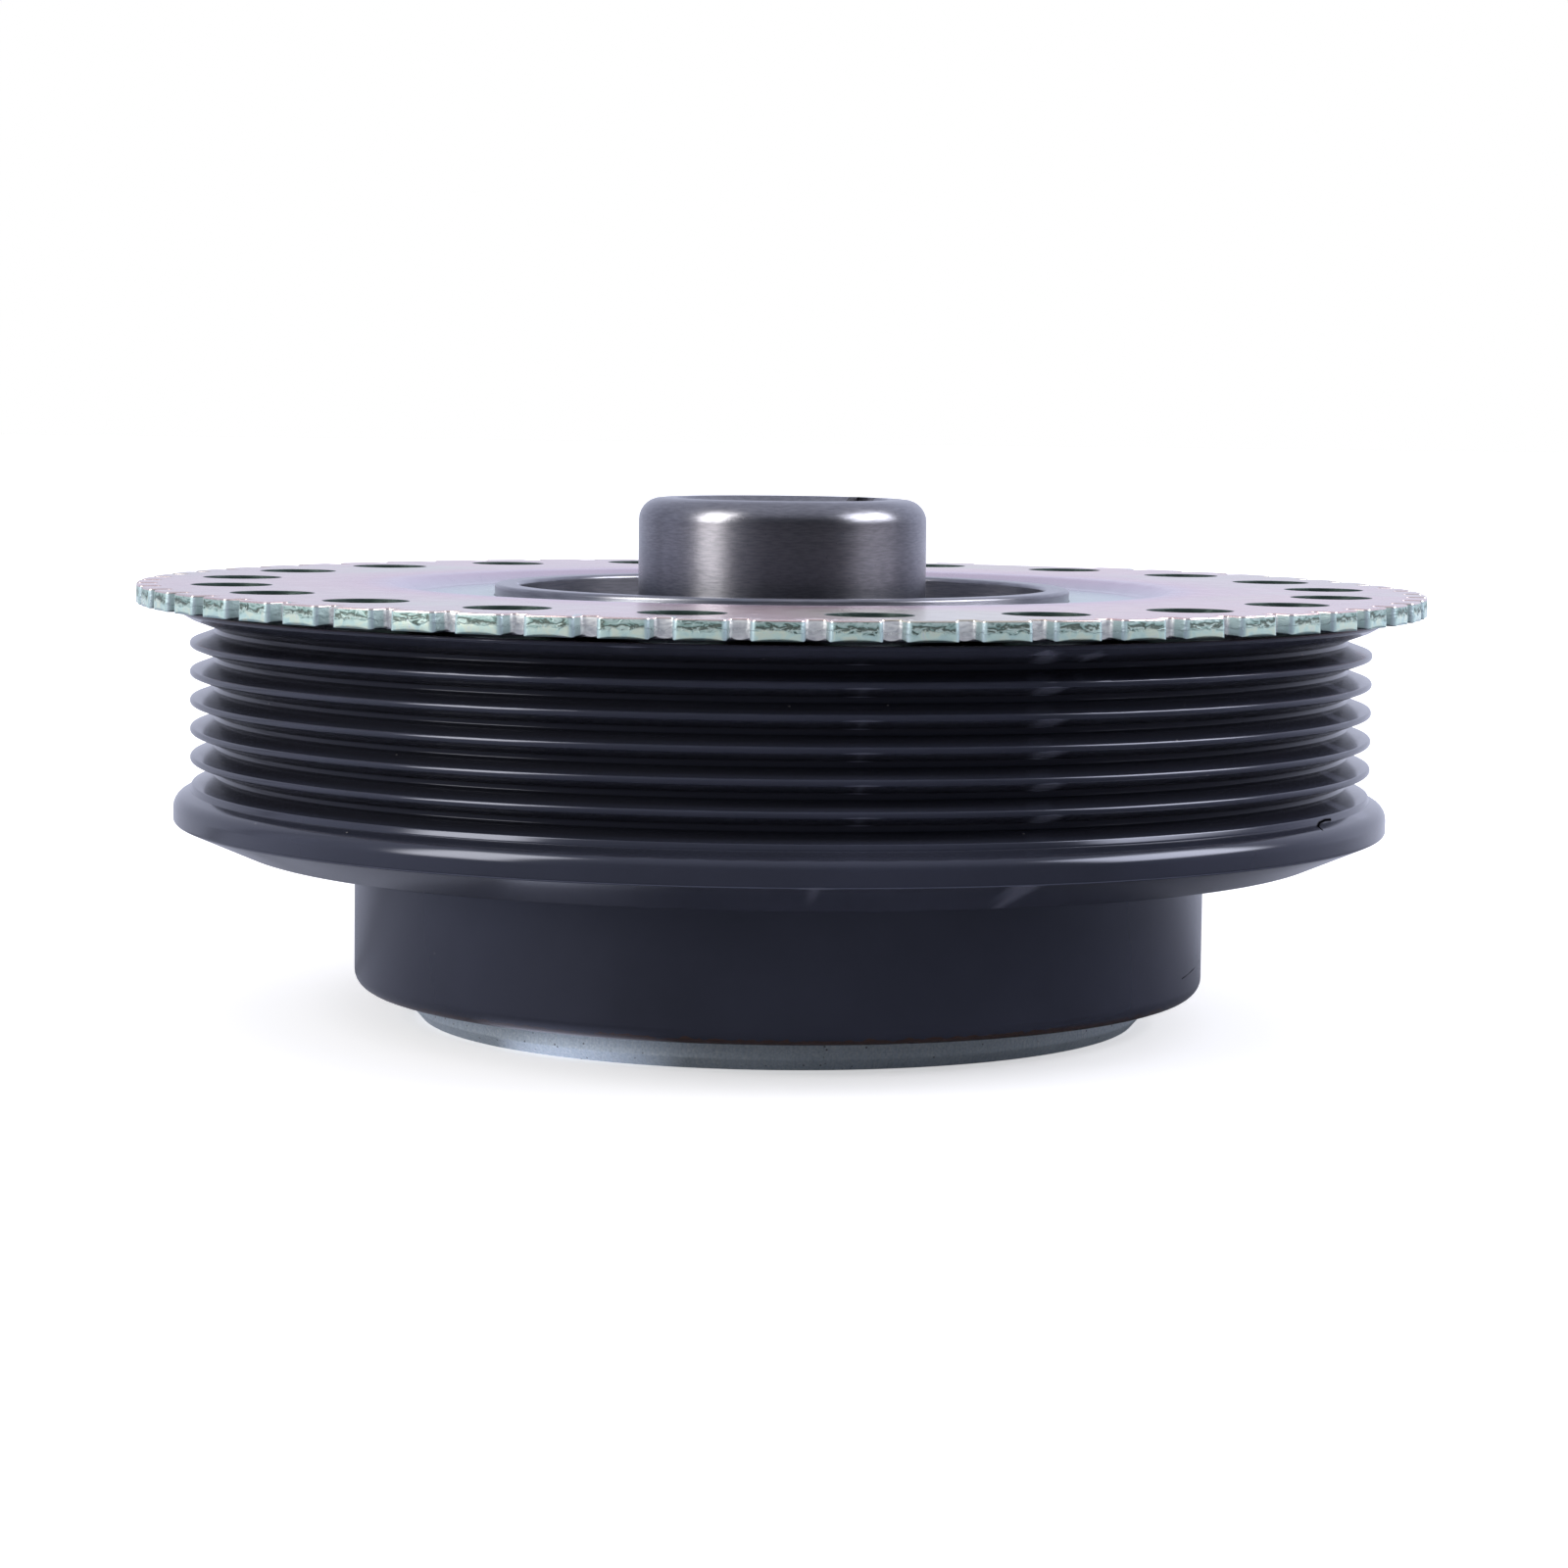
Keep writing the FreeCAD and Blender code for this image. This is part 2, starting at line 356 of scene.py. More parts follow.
hub.data.name = "turned_hub"
bpy.data.objects.remove(cutter)
print("keyway cut at", round(math.degrees(keyway_turn), 1), "degrees")

# %% [markdown]
# ## The trigger plate
#
# The plate is blanked from sheet and its notches and holes are punched one by one, so it is built the same
# way: one tooth and one hole are modelled with care and then repeated. A punched edge has a soft roll-over
# on the side where the punch entered, here the underside, a burnished band, and a rough fracture above it.
# The wall of a tooth therefore isn't one face but rows: each row extrudes the one before and moves in or out
# a little.
#
# The two patterns don't share a pitch. Sixty teeth and 21 holes both divide 420, so a ring of 420 edges
# takes 7 edges of each tooth and 20 of each hole, and the two rings are bridged.

# %% Outline one tooth
TOOTH_PITCHES = 60
NOTCH_TURN = -87.27
MISSING_FROM_NOTCH = 24
MISSING_TEETH = 2
NOTCH_DEPTH = 2.6
NOTCH_WIDTH = 2.5
NOTCH_TAPER = 0.2
TOOTH_CORNER = 0.75
ROOT_CORNER = 0.45
PLATE_THICKNESS = 2.4
ROOT_SHARES = (0, 0.3, 0.55)
CROWN_SHARES = (0.34, 0.46, 0.58, 0.7, 0.8, 0.9, 1.0)
GAP_STEPS = 8

root_radius = plate_radius - NOTCH_DEPTH
half_pitch = math.pi / TOOTH_PITCHES


def on_circle(radius, angle):
    return Vector((radius * math.cos(angle), radius * math.sin(angle)))


def half_tooth():
    """Outline from the middle of a notch at angle 0 to the middle of the tooth after it."""
    half_root = NOTCH_WIDTH / 2 - NOTCH_TAPER
    corner_angle = math.asin(NOTCH_WIDTH / 2 / plate_radius)
    crown_span = half_pitch - corner_angle
    corners = [(root_radius, half_root * share, 0) for share in ROOT_SHARES]
    corners.append((root_radius, half_root, ROOT_CORNER))
    corners.append((*on_circle(plate_radius, corner_angle), TOOTH_CORNER))
    corners += [(*on_circle(plate_radius, corner_angle + crown_span * share), 0) for share in CROWN_SHARES]
    return rounded(corners)


def tooth_outline():
    """Outline of a whole pitch, from notch to notch, with the tooth on the X axis."""
    turned_back = [Matrix.Rotation(-half_pitch, 2) @ point for point in half_tooth()]
    return turned_back + [Vector((point.x, -point.y)) for point in reversed(turned_back[:-1])]


def gap_outline():
    """Outline of a pitch where the tooth is missing: only the root circle."""
    angles = [half_pitch * (2 * step / GAP_STEPS - 1) for step in range(GAP_STEPS + 1)]
    return [on_circle(root_radius, angle) for angle in angles]


print("a tooth has", len(tooth_outline()), "outline points")

# %% [markdown]
# ## The wall of a tooth
#
# The outline is extruded downwards in rows. The rows of the top edge and of the roll-over lie on arcs, and
# the roll-over is deepest in the middle of a tooth and of a notch, where the sheet could drag in most. Two
# strips of sheet bridge the wall to a circle inside the teeth, one on the top face and one on the underside.

# %% Build the wall and the two strips of one pitch
TOP_ROUNDING = 0.22
FRACTURE_INSET = 0.05
FRACTURE_DEPTH = 0.8
BURNISH_DEPTH = 1.3
BURNISH_ABOVE_ROLL = 0.25
ROLL_OVER = 0.42
ROLL_OVER_AT_CORNER = 0.08
ROLL_OVER_WIDTH = 0.8
NOTCH_SHARE = 0.24
TOOTH_SHARE = 0.33
ARC_TURNS = [math.radians(angle) for angle in (0, 30, 60, 90)]
RIM_EDGES = 420
RIM_INSIDE = 76.6

plate_bottom = plate_top - PLATE_THICKNESS


def roll_over(angle):
    """Height of the roll-over at an angle from the tooth's middle. Sheet drags in least at the corners."""
    share = 1 - abs(angle) / half_pitch
    if share < NOTCH_SHARE:
        bulge = (share / NOTCH_SHARE) ** 2
    elif share < TOOTH_SHARE:
        bulge = (TOOTH_SHARE - share) / (TOOTH_SHARE - NOTCH_SHARE)
    else:
        bulge = 1 - ((1 - share) / (1 - TOOTH_SHARE)) ** 2.5
    return ROLL_OVER_AT_CORNER + (ROLL_OVER - ROLL_OVER_AT_CORNER) * bulge


def wall_rows(angle):
    """(inset, height) of each row of the wall, from the top face down to the bottom face."""
    roll = roll_over(angle)
    rows = []
    for turn in ARC_TURNS:
        inset = FRACTURE_INSET + TOP_ROUNDING * (1 - math.sin(turn))
        rows.append((inset, plate_top - TOP_ROUNDING * (1 - math.cos(turn))))
    rows.append((FRACTURE_INSET, plate_top - FRACTURE_DEPTH))
    rows.append((0.0, plate_top - BURNISH_DEPTH))
    rows.append((0.0, plate_bottom + roll + BURNISH_ABOVE_ROLL))
    for turn in ARC_TURNS:
        inset = ROLL_OVER_WIDTH * roll * (1 - math.cos(turn))
        rows.append((inset, plate_bottom + roll * (1 - math.sin(turn))))
    return rows


def outward(points, index):
    """Outward direction of an outline at one of its points."""
    before = points[max(index - 1, 0)]
    after = points[min(index + 1, len(points) - 1)]
    along = (after - before).normalized()
    return Vector((along.y, -along.x))


def grown_from(vert, fresh):
    """The new vertex that an extrusion made from this one."""
    return next(edge.other_vert(vert) for edge in vert.link_edges if edge.other_vert(vert) in fresh)


def pitch_mesh(outline):
    """Mesh of one pitch: a wall extruded row by row, and strips from it to the circle inside the teeth."""
    bm = bmesh.new()
    angles = [math.atan2(point.y, point.x) for point in outline]
    normals = [outward(outline, index) for index in range(len(outline))]
    normals[0] = on_circle(1, -half_pitch)
    normals[-1] = on_circle(1, half_pitch)
    chain = [bm.verts.new() for point in outline]
    edges = [bm.edges.new(pair) for pair in zip(chain, chain[1:])]
    top_edges = edges
    for row in range(len(wall_rows(0))):
        if row:
            grown = bmesh.ops.extrude_edge_only(bm, edges=edges)["geom"]
            fresh = {part for part in grown if isinstance(part, bmesh.types.BMVert)}
            chain = [grown_from(vert, fresh) for vert in chain]
            edges = [bm.edges.get(pair) for pair in zip(chain, chain[1:])]
        for vert, point, normal, angle in zip(chain, outline, normals, angles):
            inset, height = wall_rows(angle)[row]
            vert.co = (*(point - normal * inset), height)
    for face in bm.faces:
        face.material_index = int(face.calc_center_median().z < plate_top - TOP_ROUNDING)
    steps = RIM_EDGES // TOOTH_PITCHES
    arc_angles = [half_pitch * (2 * step / steps - 1) for step in range(steps + 1)]
    for rim_edges, height in ((top_edges, plate_top), (edges, plate_bottom)):
        arc = [bm.verts.new((*on_circle(RIM_INSIDE, angle), height)) for angle in arc_angles]
        arc_edges = [bm.edges.new(pair) for pair in zip(arc, arc[1:])]
        for face in bmesh.ops.bridge_loops(bm, edges=rim_edges + arc_edges)["faces"]:
            face.material_index = 0
    mesh = bpy.data.meshes.new("pitch")
    bm.to_mesh(mesh)
    bm.free()
    return mesh


tooth_mesh = pitch_mesh(tooth_outline())
gap_mesh = pitch_mesh(gap_outline())
print("a tooth has", len(tooth_mesh.polygons), "faces")

# %% [markdown]
# ## One hole
#
# A hole is a circle extruded down in rows, with a small rounding at its top edge and a slight break-out at
# the underside. A field of sheet round it, one 21st of the plate, is bridged to it on both faces. A boolean
# could cut the holes too, but it leaves long thin triangles that would show in the shiny plating.

# %% Build one hole with the field of sheet round it
HOLE_COUNT = 21
HOLE_TURN = -99.1
HOLE_RADIUS = 4.93
HOLE_ROUNDING = 0.12
HOLE_TO_NOTCH = 4.0
HOLE_BURNISH = 1.2
HOLE_BREAK_OUT = [(0.05, 0.1), (0.12, 0.0)]
HOLE_EDGES = 48
FIELD_OUTSIDE = 75.8
FIELD_INSIDE = 63.2

hole_circle = root_radius - HOLE_TO_NOTCH - HOLE_RADIUS
half_field = math.pi / HOLE_COUNT
arc_steps = RIM_EDGES // HOLE_COUNT
side_steps = HOLE_EDGES // 2 - arc_steps


def field_edge(bm, height):
    """Closed chain of edges round one hole's share of the sheet."""
    places = [on_circle(FIELD_OUTSIDE, half_field * (2 * step / arc_steps - 1)) for step in range(arc_steps)]
    for step in range(side_steps):
        radius = FIELD_OUTSIDE + (FIELD_INSIDE - FIELD_OUTSIDE) * step / side_steps
        places.append(on_circle(radius, half_field))
    places += [on_circle(FIELD_INSIDE, half_field * (1 - 2 * step / arc_steps)) for step in range(arc_steps)]
    for step in range(side_steps):
        radius = FIELD_INSIDE + (FIELD_OUTSIDE - FIELD_INSIDE) * step / side_steps
        places.append(on_circle(radius, -half_field))
    verts = [bm.verts.new((*place, height)) for place in places]
    return [bm.edges.new((vert, verts[index - 1])) for index, vert in enumerate(verts)]


def hole_rows():
    """(radius, height) of each row of a hole's wall: punched from above, so rolled over at the top."""
    rows = []
    for turn in ARC_TURNS:
        edge = HOLE_ROUNDING * (1 - math.sin(turn))
        rows.append((HOLE_RADIUS + edge, plate_top - HOLE_ROUNDING * (1 - math.cos(turn))))
    rows.append((HOLE_RADIUS, plate_top - HOLE_BURNISH))
    rows += [(HOLE_RADIUS + wider, plate_bottom + above) for wider, above in HOLE_BREAK_OUT]
    return rows


def hole_mesh():
    bm = bmesh.new()
    hole_centre = Vector((hole_circle, 0, 0))
    radius, height = hole_rows()[0]
    start = Matrix.Translation(hole_centre + Vector((0, 0, height)))
    bmesh.ops.create_circle(bm, cap_ends=False, radius=radius, segments=HOLE_EDGES, matrix=start)
    edges = list(bm.edges)
    top_edges = edges
    for next_radius, next_height in hole_rows()[1:]:
        grown = bmesh.ops.extrude_edge_only(bm, edges=edges)["geom"]
        loop = [part for part in grown if isinstance(part, bmesh.types.BMVert)]
        edges = [part for part in grown if isinstance(part, bmesh.types.BMEdge)]
        share = next_radius / radius
        bmesh.ops.scale(bm, vec=(share, share, 1), verts=loop, space=Matrix.Translation(-hole_centre))
        bmesh.ops.translate(bm, vec=(0, 0, next_height - height), verts=loop)
        radius, height = next_radius, next_height
        edges = [edge for edge in edges if all(vert in loop for vert in edge.verts)]
    for face in bm.faces:
        face.material_index = 2
    sheet = bmesh.ops.bridge_loops(bm, edges=top_edges + field_edge(bm, plate_top))["faces"]
    sheet += bmesh.ops.bridge_loops(bm, edges=edges + field_edge(bm, plate_bottom))["faces"]
    for face in sheet:
        face.material_index = 0
    mesh = bpy.data.meshes.new("hole")
    bm.to_mesh(mesh)
    bm.free()
    return mesh


hole_field = hole_mesh()
print("a hole has", len(hole_field.polygons), "faces")

# %% [markdown]
# ## The stepped middle and the whole plate
#
# Inside the holes the sheet steps down by 1.4 mm to its seat on the hub's shoulder. That part is round, so
# it is spun. The hole fields and the pitches are copied round it, doubles are merged, and the gap between
# the ring of fields and the ring of pitches is bridged on both faces. Two pitches at the back have no tooth,
# as trigger plates have for the sensor to find its place, but the photograph hides where.

# %% Turn the stepped middle and put the plate together
STEP_START_GAP = 0.4
STEP_RUN = 2.4
STEP_ROUNDING = 2.0

seat_top = shoulder_height + PLATE_THICKNESS
step_inside = barrel_radius + STEP_START_GAP
step_outside = step_inside + STEP_RUN
middle_section = [
    (FIELD_INSIDE, plate_top, 0),
    (step_outside, plate_top, STEP_ROUNDING),
    (step_inside, seat_top, STEP_ROUNDING),
    (COLLAR_RADIUS, seat_top, 0.2),
    (COLLAR_RADIUS, shoulder_height, 0.2),
    (step_inside, shoulder_height, STEP_ROUNDING),
    (step_outside, plate_bottom, STEP_ROUNDING),
    (FIELD_INSIDE, plate_bottom, 0),
]


def copy_round(bm, mesh, angles):
    """Adds the mesh to bm once for each angle, turned round the shaft axis."""
    for angle in angles:
        turned_copy = mesh.copy()
        turned_copy.transform(Matrix.Rotation(angle, 4, "Z"))
        bm.from_mesh(turned_copy)
        bpy.data.meshes.remove(turned_copy)


bm = bmesh.new()
section = [bm.verts.new((point.x, 0, point.y)) for point in rounded(middle_section)]
edges = [bm.edges.new(pair) for pair in zip(section, section[1:])]
first_hole = math.radians(HOLE_TURN)
bmesh.ops.rotate(bm, cent=(0, 0, 0), matrix=Matrix.Rotation(first_hole - half_field, 3, "Z"), verts=section)
bmesh.ops.spin(
    bm, geom=section + edges, axis=(0, 0, 1), cent=(0, 0, 0), steps=RIM_EDGES, angle=math.tau, use_merge=True
)
copy_round(bm, hole_field, [first_hole + 2 * half_field * index for index in range(HOLE_COUNT)])
first_tooth = math.radians(NOTCH_TURN) + half_pitch
missing = range(MISSING_FROM_NOTCH, MISSING_FROM_NOTCH + MISSING_TEETH)
standing = [index for index in range(TOOTH_PITCHES) if index not in missing]
copy_round(bm, tooth_mesh, [first_tooth + 2 * half_pitch * index for index in standing])
copy_round(bm, gap_mesh, [first_tooth + 2 * half_pitch * index for index in missing])
bmesh.ops.remove_doubles(bm, verts=bm.verts, dist=0.002)
for height in (plate_top, plate_bottom):
    open_edges = [edge for edge in bm.edges if edge.is_boundary and abs(edge.verts[0].co.z - height) < 0.01]
    for face in bmesh.ops.bridge_loops(bm, edges=open_edges)["faces"]:
        face.material_index = 0
bmesh.ops.recalc_face_normals(bm, faces=bm.faces)
print("open edges left in the plate:", sum(edge.is_boundary for edge in bm.edges))
plate = finish_piece("toothed_plate", bm, "trigger_plate")

# %% [markdown]
# ## How materials are written here
#
# Colours are given as sRGB hex values, as a colour picker shows them, and one function turns them to the
# linear values that shaders work in. One more function adds a node, sets its values and links its inputs.
# Everything is driven by Object coordinates, which are metres here, so a pattern of a given size in
# millimetres has a scale of 1000 divided by that size. A finish is built as it is on a bench: a base tone,
# then layers over it, each with a mask that says where it lies.

# %% Helpers for colours and nodes
def linear(hex_colour):
    """RGBA in linear light from an sRGB hex colour."""
    channels = [int(hex_colour[start:start + 2], 16) / 255 for start in (1, 3, 5)]
    return [c / 12.92 if c <= 0.04045 else ((c + 0.055) / 1.055) ** 2.4 for c in channels] + [1.0]


def per_mm(size):
    """Texture scale, for coordinates in metres, of a pattern of this size in mm."""
    return 1 / (size * MM)


def plug(node, inputs):
    """Sets inputs of a node. Each takes a number, a vector, a hex colour or another node's output."""
    for key, value in inputs.items():
        socket = node.inputs[key]
        if isinstance(value, bpy.types.NodeSocket):
            node.id_data.links.new(value, socket)
        else:
            socket.default_value = linear(value) if isinstance(value, str) else value


def add(tree, kind, inputs=None, output=0, stops=(), **settings):
    """Adds a node and returns one output of it. Stops are a ramp's (position, hex colour or grey level)."""
    node = tree.nodes.new("ShaderNode" + kind)
    for name, value in settings.items():
        setattr(node, name, value)
    plug(node, inputs or {})
    if stops:
        elements = node.color_ramp.elements
        while len(elements) < len(stops):
            elements.new(0.5)
        for element, (position, level) in zip(elements, stops):
            element.position = position
            element.color = linear(level) if isinstance(level, str) else (level, level, level, 1)
    return node.outputs[output]


def layered(tree, base, layers):
    """Lays colours over a base, one after the other. A layer is (mask, colour)."""
    for mask, colour in layers:
        base = add(tree, "Mix", {0: mask, 6: base, 7: colour}, output=2, data_type="RGBA")
    return base


def new_material(name):
    material = bpy.data.materials.new(name)
    material.use_nodes = True
    tree = material.node_tree
    return material, tree, tree.nodes["Principled BSDF"]


print("linear grey of #808080:", round(linear("#808080")[0], 3))

# %% [markdown]
# ## Patterns that a lathe and an edge leave
#
# Turned pieces need patterns that run round the shaft axis, so Object coordinates are split into a
# direction, a radius and a height. Four-dimensional noise takes the direction and the radius as its place
# and the height as its fourth number, which gives rings on faces and on walls alike. Wear follows
# Pointiness, which is high where the mesh turns a convex corner. A handling mark is the space near a bent
# line through points on the surface.

# %% Helpers for patterns
LINE_CORE = 0.3
LINE_REACH = 0.7


def lathe_coordinates(tree):
    """Object coordinates as a lathe sees them: the place, its direction from the axis, radius and height."""
    place = add(tree, "TexCoord", output="Object")
    height = add(tree, "SeparateXYZ", {0: place}, output="Z")
    flat = add(tree, "VectorMath", {0: place, 1: (1.0, 1.0, 0.0)}, operation="MULTIPLY")
    radius = add(tree, "VectorMath", {0: flat}, output="Value", operation="LENGTH")
    direction = add(tree, "VectorMath", {0: flat}, operation="NORMALIZE")
    return place, direction, radius, height


def tool_marks(tree, width, wander):
    """Noise in rings round the axis, as a lathe leaves: fine across the feed and long round the piece."""
    place, direction, radius, height = lathe_coordinates(tree)
    turn = add(tree, "VectorMath", {0: direction, 1: (wander, wander, 0)}, operation="MULTIPLY")
    across = add(tree, "Math", {0: radius, 1: per_mm(width)}, operation="MULTIPLY")
    lift = add(tree, "CombineXYZ", {2: across})
    vector = add(tree, "VectorMath", {0: turn, 1: lift}, operation="ADD")
    along = add(tree, "Math", {0: height, 1: per_mm(width)}, operation="MULTIPLY")
    inputs = {"Vector": vector, "W": along, "Scale": 1.0, "Detail": 2.0}
    return add(tree, "TexNoise", inputs, noise_dimensions="4D")


def across_the_marks(tree):
    """Unit vector in the surface and square to the tool rings: up a wall and outwards on a face."""
    direction = lathe_coordinates(tree)[1]
    normal = add(tree, "NewGeometry", output="Normal")
    around = add(tree, "VectorMath", {0: (0.0, 0.0, 1.0), 1: direction}, operation="CROSS_PRODUCT")
    return add(tree, "VectorMath", {0: around, 1: normal}, operation="CROSS_PRODUCT")


def edge_wear(tree, start, full):
    """0 on flats and 1 along convex edges, from how pointed the mesh is."""
    pointed = add(tree, "NewGeometry", output="Pointiness")
    return add(tree, "MapRange", {"Value": pointed, "From Min": start, "From Max": full})


def beyond(tree, value, start, full):
    """0 below a length in mm and 1 above another, for a height or a radius. Swapped lengths turn it round."""
    return add(tree, "MapRange", {"Value": value, "From Min": start * MM, "From Max": full * MM})


def line_mask(tree, points, width):
    """1 near a bent line through points in mm, 0 away from it."""
    place = add(tree, "TexCoord", output="Object")
    masks = []
    for start, finish in zip(points, points[1:]):
        first, along = Vector(start) * MM, (Vector(finish) - Vector(start)) * MM
        offset = add(tree, "VectorMath", {0: place, 1: first}, operation="SUBTRACT")
        inputs = {0: offset, 1: along / along.length_squared}
        share = add(tree, "VectorMath", inputs, output="Value", operation="DOT_PRODUCT")
        limited = add(tree, "Clamp", {"Value": share})
        nearest = add(tree, "VectorMath", {0: along, "Scale": limited}, operation="SCALE")
        distance = add(tree, "VectorMath", {0: offset, 1: nearest}, output="Value", operation="DISTANCE")
        masks.append(beyond(tree, distance, width * LINE_REACH, width * LINE_CORE))
    total = masks[0]
    for mask in masks[1:]:
        total = add(tree, "Math", {0: total, 1: mask}, operation="MAXIMUM")
    return total


print("a pattern of 2 mm has scale", per_mm(2))

# %% [markdown]
# ## Turned iron
#
# The hub is bare ductile iron, finish turned and polished where the seal runs. A lathe leaves rings a tenth
# of a millimetre wide, so light spreads across the feed and makes the long vertical glints on the journal.
# At that size the rings would vanish in the picture, so they are drawn a little coarser. The anisotropic
# sheen needs a tangent, and it is worked out from the axis, so that no UV map is needed.

# %% Material: turned iron
WORN_FROM = 20


def turned_iron():
    material, tree, shader = new_material("turned_iron")
    marks = tool_marks(tree, 0.2, 14.0)
    broad = tool_marks(tree, 1.3, 1.5)
    place, direction, radius, height = lathe_coordinates(tree)
    blotch = add(tree, "TexNoise", {"Vector": place, "Scale": per_mm(14), "Detail": 3.0})
    grain = add(tree, "TexNoise", {"Vector": place, "Scale": per_mm(0.35), "Detail": 2.0})
    tones = [(0.3, "#8d8d94"), (0.55, "#95959c"), (0.75, "#838892")]
    tone = add(tree, "ValToRGB", {0: blotch}, stops=tones)
    lines = add(tree, "ValToRGB", {0: marks}, stops=[(0.35, 0.0), (0.65, 0.6)])
    pits = add(tree, "ValToRGB", {0: grain}, stops=[(0.22, 0.5), (0.31, 0.0)])
    outside = beyond(tree, radius, WORN_FROM, WORN_FROM + 1)
    wear = add(tree, "Math", {0: outside, 1: edge_wear(tree, 0.52, 0.6)}, operation="MULTIPLY")
    relief = add(tree, "Math", {0: grain, 1: 0.5, 2: marks}, operation="MULTIPLY_ADD")
    plug(shader, {
        "Base Color": layered(tree, tone, [(lines, "#74747b"), (pits, "#55555c"), (wear, "#c0c0c9")]),
        "Metallic": 1.0,
        "Roughness": add(tree, "MapRange", {"Value": broad, "To Min": 0.25, "To Max": 0.33}),
        "Anisotropic": 0.5,
        "Tangent": across_the_marks(tree),
        "Normal": add(tree, "Bump", {"Height": relief, "Strength": 0.5, "Distance": 0.02 * MM}),
    })
    return material


hub_finish = turned_iron()
print(hub_finish.name, "has", len(hub_finish.node_tree.nodes), "nodes")

# %% [markdown]
# ## The rim at the bottom
#
# Below the skirt the barrel shows as a bright ring. It was faced by grinding, which leaves short upright
# scratches, about 200 to the radian, and a blue-grey grain with a few pits.

# %% Material: ground rim
SCRATCHES_PER_RADIAN = 210.0


def ground_rim():
    material, tree, shader = new_material("ground_iron_rim")
    place, direction, radius, height = lathe_coordinates(tree)
    spread = (SCRATCHES_PER_RADIAN, SCRATCHES_PER_RADIAN, 0.0)
    streaks = add(tree, "VectorMath", {0: direction, 1: spread}, operation="MULTIPLY")
    rise = add(tree, "Math", {0: height, 1: per_mm(2.2)}, operation="MULTIPLY")
    inputs = {"Vector": streaks, "W": rise, "Scale": 1.0, "Detail": 3.0}
    upright = add(tree, "TexNoise", inputs, noise_dimensions="4D")
    grain = add(tree, "TexNoise", {"Vector": place, "Scale": per_mm(0.3), "Detail": 3.0})
    cells = add(tree, "TexVoronoi", {"Vector": place, "Scale": per_mm(1.4)}, output="Distance")
    tones = [(0.3, "#bccad1"), (0.55, "#d5dfe3"), (0.75, "#ecf2f3")]
    tone = add(tree, "ValToRGB", {0: grain}, stops=tones)
    lines = add(tree, "ValToRGB", {0: upright}, stops=[(0.42, 0.0), (0.62, 0.5)])
    pits = add(tree, "ValToRGB", {0: cells}, stops=[(0.05, 0.8), (0.12, 0.0)])
    relief = add(tree, "Math", {0: grain, 1: 0.6, 2: upright}, operation="MULTIPLY_ADD")
    plug(shader, {
        "Base Color": layered(tree, tone, [(lines, "#d6e2ea"), (pits, "#3c4145")]),
        "Metallic": 0.68,
        "Roughness": add(tree, "MapRange", {"Value": grain, "To Min": 0.35, "To Max": 0.6}),
        "Normal": add(tree, "Bump", {"Height": relief, "Strength": 0.6, "Distance": 0.05 * MM}),
    })
    return material


rim_finish = ground_rim()
print(rim_finish.name, "has", len(rim_finish.node_tree.nodes), "nodes")

# %% [markdown]
# ## Black electrophoretic coat
#
# The ring was dipped and baked in a thin black paint. It follows the turned iron below, so faint tool rings
# show through, with a trace of orange peel. It is glossy above the cone and more matt on the skirt, a little
# blue, thinner and greyer on sharp edges, and frayed round the skirt's end. Down in the grooves a painted
# shade makes it darker and less shiny, and a thin pale line along the front flange's lower edge is a painted
# highlight. It carries a few specks of dust and four handling marks: a hooked scrape and a pale fleck on the
# front flange, and a hair scratch and a chip on the skirt. Scrapes have lost their gloss, so they dim the
# reflection too.

# %% Material: black coat
HOOK = [
    (65.6, -34.9, 29.2), (64.7, -36.5, 29.3), (63.8, -38.1, 29.1), (63.5, -39.4, 28.8), (63.9, -40.0, 28.5),
]
SCRATCH = [(49.71, -20.59, 7.9), (51.4, -15.9, 8.3), (52.7, -10.7, 8.7), (53.55, -5.2, 9.1)]
CHIP = [(-46.1, -28.2, 4.9), (-44.9, -30.1, 5.2), (-43.6, -31.9, 4.8), (-41.5, -34.5, 4.7)]
FLECK = [(45.3, -59.4, 29.9), (45.9, -58.9, 29.6)]
FRAYED_UP_TO = 4.05
FRAY_DEPTH = 1.5
# Width in mm of the painted highlight line along the front flange's lower edge.
EDGE_HIGHLIGHT_WIDTH = 0.09
GLOSSY_FROM = 20.5
GLOSSY_AT = 24.0


